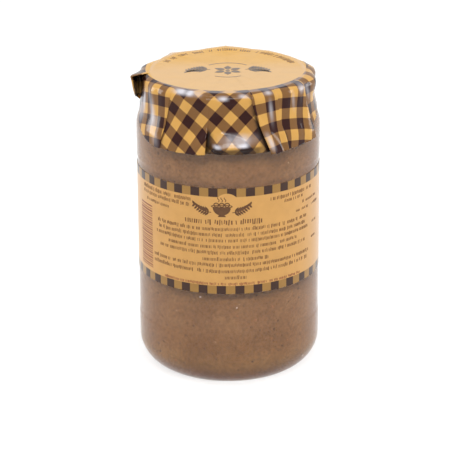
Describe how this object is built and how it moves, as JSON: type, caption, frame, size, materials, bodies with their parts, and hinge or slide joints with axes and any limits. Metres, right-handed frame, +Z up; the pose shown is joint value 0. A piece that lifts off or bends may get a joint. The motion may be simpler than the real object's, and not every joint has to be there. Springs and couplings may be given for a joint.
{
  "type": "jar of lobster bisque",
  "caption": "Round clear glass food jar filled with lobster bisque, with a paper label round its body and a pleated gingham film cover draped over its pressed metal lid.",
  "frame": {"origin": "middle of the jar's foot, on the surface it stands on", "axes": "+Z up the jar's axis; -Y the front, where the middle of the label faces; +X to the right seen from the front"},
  "size_m": [0.0761, 0.0798, 0.1267],
  "materials": {
    "jar_glass": "clear, smooth moulded glass",
    "bisque": "smooth wet soup with fine specks, seen against the glass",
    "label_paper": "satin printed paper",
    "lid_lacquer": "gold lacquer",
    "cover_film": "glossy printed film, yellow over the lid and brown gingham on its skirt"
  },
  "bodies": {
    "root": {"jar": "jar_glass", "bisque": "bisque", "label": "label_paper", "lid": "lid_lacquer", "cover": "cover_film"}
  },
  "joints": []
}
